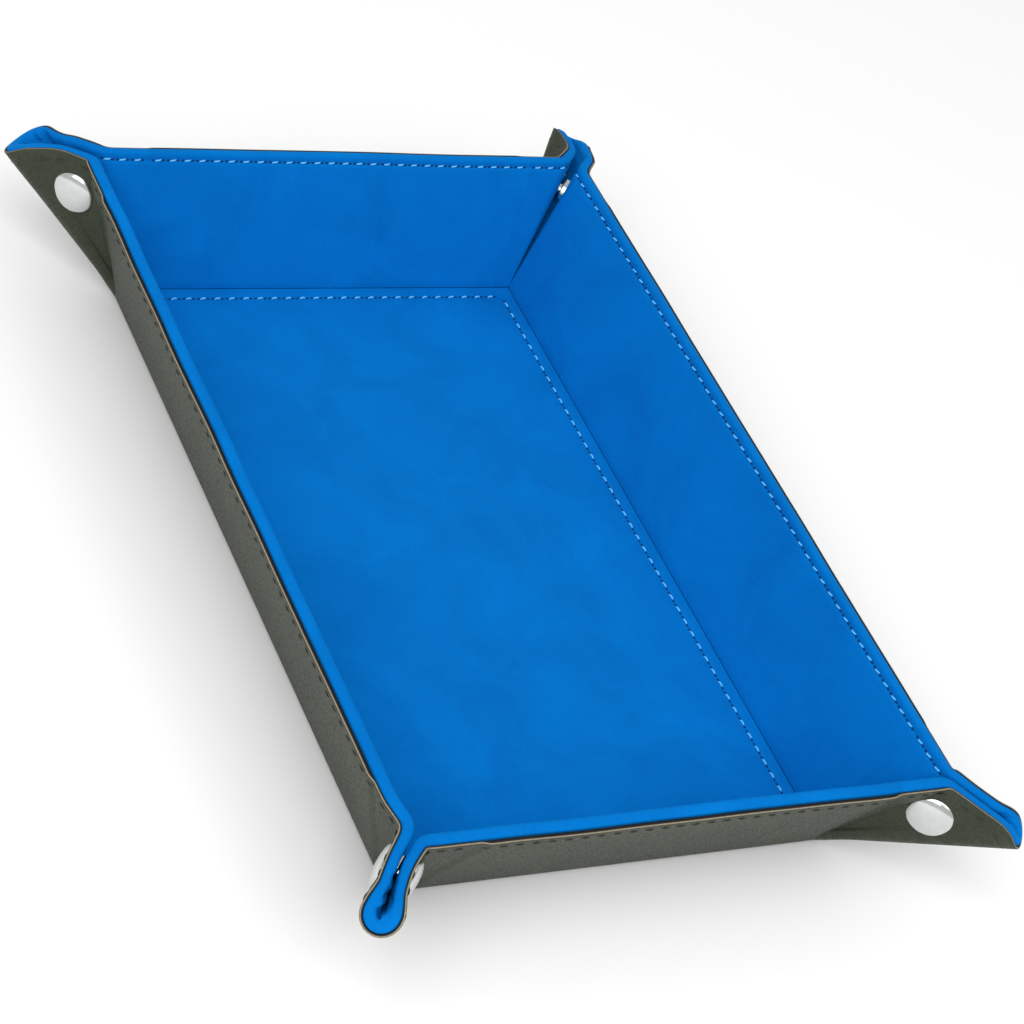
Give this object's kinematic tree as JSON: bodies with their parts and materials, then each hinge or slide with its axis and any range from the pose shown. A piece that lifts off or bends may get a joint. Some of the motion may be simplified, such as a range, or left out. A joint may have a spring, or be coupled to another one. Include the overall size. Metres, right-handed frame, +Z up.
{
  "type": "folding dice tray",
  "caption": "Rectangular velvet-lined dice tray with leaning walls that fold flat when the snaps in its corner ears are undone.",
  "frame": {"origin": "middle of the underside of the tray floor, where it rests on the table", "axes": "+Z up out of the tray, +Y along the tray towards the back short wall, +X towards the right long wall"},
  "size_m": [0.1914, 0.2714, 0.0412],
  "materials": {
    "cover": "fine-grained PU leather, satin",
    "lining": "short-pile velvet",
    "board": "grey card",
    "thread": "lockstitch thread",
    "snap": "polished nickel"
  },
  "bodies": {
    "base": {"floor_cover": "cover", "floor_board": "board", "floor_lining": "lining", "floor_stitching": "thread"},
    "right_wall": {"right_wall_cover": "cover", "right_wall_board": "board", "right_wall_lining": "lining", "right_wall_stitching": "thread"},
    "left_wall": {"left_wall_cover": "cover", "left_wall_board": "board", "left_wall_lining": "lining", "left_wall_stitching": "thread"},
    "back_wall": {"back_wall_cover": "cover", "back_wall_board": "board", "back_wall_lining": "lining", "back_wall_stitching": "thread"},
    "front_wall": {"front_wall_cover": "cover", "front_wall_board": "board", "front_wall_lining": "lining", "front_wall_stitching": "thread"},
    "front_left_ear": {"front_left_ear_cover": "cover", "front_left_ear_lining": "lining", "front_left_ear_cap": "snap", "front_left_ear_socket": "snap"},
    "front_left_flap": {"front_left_flap_cover": "cover", "front_left_flap_lining": "lining", "front_left_flap_cap": "snap", "front_left_flap_stud": "snap"},
    "front_left_gusset": {"front_left_gusset_cover": "cover", "front_left_gusset_lining": "lining"},
    "front_right_ear": {"front_right_ear_cover": "cover", "front_right_ear_lining": "lining", "front_right_ear_cap": "snap", "front_right_ear_socket": "snap"},
    "front_right_flap": {"front_right_flap_cover": "cover", "front_right_flap_lining": "lining", "front_right_flap_cap": "snap", "front_right_flap_stud": "snap"},
    "front_right_gusset": {"front_right_gusset_cover": "cover", "front_right_gusset_lining": "lining"},
    "back_left_ear": {"back_left_ear_cover": "cover", "back_left_ear_lining": "lining", "back_left_ear_cap": "snap", "back_left_ear_socket": "snap"},
    "back_left_flap": {"back_left_flap_cover": "cover", "back_left_flap_lining": "lining", "back_left_flap_cap": "snap", "back_left_flap_stud": "snap"},
    "back_left_gusset": {"back_left_gusset_cover": "cover", "back_left_gusset_lining": "lining"},
    "back_right_ear": {"back_right_ear_cover": "cover", "back_right_ear_lining": "lining", "back_right_ear_cap": "snap", "back_right_ear_socket": "snap"},
    "back_right_flap": {"back_right_flap_cover": "cover", "back_right_flap_lining": "lining", "back_right_flap_cap": "snap", "back_right_flap_stud": "snap"},
    "back_right_gusset": {"back_right_gusset_cover": "cover", "back_right_gusset_lining": "lining"}
  },
  "joints": [
    {"name": "right_wall_fold", "type": "hinge", "parent": "base", "child": "right_wall", "pos_m": [0.062, 0, 0.0044], "axis": [0, 1, 0], "range_deg": [0, 67]},
    {"name": "left_wall_fold", "type": "hinge", "parent": "base", "child": "left_wall", "pos_m": [-0.062, 0, 0.0044], "axis": [0, -1, 0], "range_deg": [0, 67]},
    {"name": "back_wall_fold", "type": "hinge", "parent": "base", "child": "back_wall", "pos_m": [0, 0.102, 0.0044], "axis": [-1, 0, 0], "range_deg": [0, 67]},
    {"name": "front_wall_fold", "type": "hinge", "parent": "base", "child": "front_wall", "pos_m": [0, -0.102, 0.0044], "axis": [1, 0, 0], "range_deg": [0, 67]},
    {"name": "front_left_ear_fold", "type": "hinge", "parent": "left_wall", "child": "front_left_ear", "pos_m": [-0.062, -0.10087, 0.0044], "axis": [-0.3639, -0.3639, 0.8574], "range_deg": [0, 49.39]},
    {"name": "front_left_flap_fold", "type": "hinge", "parent": "front_left_ear", "child": "front_left_flap", "pos_m": [-0.06222, -0.10222, 0.00421], "axis": [0.5766, 0.5766, -0.5788], "range_deg": [0, 180]},
    {"name": "front_left_gusset_fold", "type": "hinge", "parent": "front_left_flap", "child": "front_left_gusset", "pos_m": [-0.06087, -0.102, 0.0044], "axis": [-0.3639, -0.3639, 0.8574], "range_deg": [0, 49.39]},
    {"name": "front_right_ear_fold", "type": "hinge", "parent": "right_wall", "child": "front_right_ear", "pos_m": [0.062, -0.10087, 0.0044], "axis": [-0.3639, 0.3639, -0.8574], "range_deg": [0, 49.39]},
    {"name": "front_right_flap_fold", "type": "hinge", "parent": "front_right_ear", "child": "front_right_flap", "pos_m": [0.06222, -0.10222, 0.00421], "axis": [0.5766, -0.5766, 0.5788], "range_deg": [0, 180]},
    {"name": "front_right_gusset_fold", "type": "hinge", "parent": "front_right_flap", "child": "front_right_gusset", "pos_m": [0.06087, -0.102, 0.0044], "axis": [-0.3639, 0.3639, -0.8574], "range_deg": [0, 49.39]},
    {"name": "back_left_ear_fold", "type": "hinge", "parent": "left_wall", "child": "back_left_ear", "pos_m": [-0.062, 0.10087, 0.0044], "axis": [0.3639, -0.3639, -0.8574], "range_deg": [0, 49.39]},
    {"name": "back_left_flap_fold", "type": "hinge", "parent": "back_left_ear", "child": "back_left_flap", "pos_m": [-0.06222, 0.10222, 0.00421], "axis": [-0.5766, 0.5766, 0.5788], "range_deg": [0, 180]},
    {"name": "back_left_gusset_fold", "type": "hinge", "parent": "back_left_flap", "child": "back_left_gusset", "pos_m": [-0.06087, 0.102, 0.0044], "axis": [0.3639, -0.3639, -0.8574], "range_deg": [0, 49.39]},
    {"name": "back_right_ear_fold", "type": "hinge", "parent": "right_wall", "child": "back_right_ear", "pos_m": [0.062, 0.10087, 0.0044], "axis": [0.3639, 0.3639, 0.8574], "range_deg": [0, 49.39]},
    {"name": "back_right_flap_fold", "type": "hinge", "parent": "back_right_ear", "child": "back_right_flap", "pos_m": [0.06222, 0.10222, 0.00421], "axis": [-0.5766, -0.5766, -0.5788], "range_deg": [0, 180]},
    {"name": "back_right_gusset_fold", "type": "hinge", "parent": "back_right_flap", "child": "back_right_gusset", "pos_m": [0.06087, 0.102, 0.0044], "axis": [0.3639, 0.3639, 0.8574], "range_deg": [0, 49.39]}
  ],
  "couplings": [
    {"joint": "left_wall_fold", "follows": "right_wall_fold", "ratio": 1},
    {"joint": "back_wall_fold", "follows": "right_wall_fold", "ratio": 1},
    {"joint": "front_wall_fold", "follows": "right_wall_fold", "ratio": 1},
    {"joint": "front_left_ear_fold", "follows": "right_wall_fold", "ratio": 0.73718},
    {"joint": "front_left_flap_fold", "follows": "right_wall_fold", "ratio": 2.6851},
    {"joint": "front_left_gusset_fold", "follows": "right_wall_fold", "ratio": 0.73718},
    {"joint": "front_right_ear_fold", "follows": "right_wall_fold", "ratio": 0.73718},
    {"joint": "front_right_flap_fold", "follows": "right_wall_fold", "ratio": 2.6851},
    {"joint": "front_right_gusset_fold", "follows": "right_wall_fold", "ratio": 0.73718},
    {"joint": "back_left_ear_fold", "follows": "right_wall_fold", "ratio": 0.73718},
    {"joint": "back_left_flap_fold", "follows": "right_wall_fold", "ratio": 2.6851},
    {"joint": "back_left_gusset_fold", "follows": "right_wall_fold", "ratio": 0.73718},
    {"joint": "back_right_ear_fold", "follows": "right_wall_fold", "ratio": 0.73718},
    {"joint": "back_right_flap_fold", "follows": "right_wall_fold", "ratio": 2.6851},
    {"joint": "back_right_gusset_fold", "follows": "right_wall_fold", "ratio": 0.73718}
  ]
}
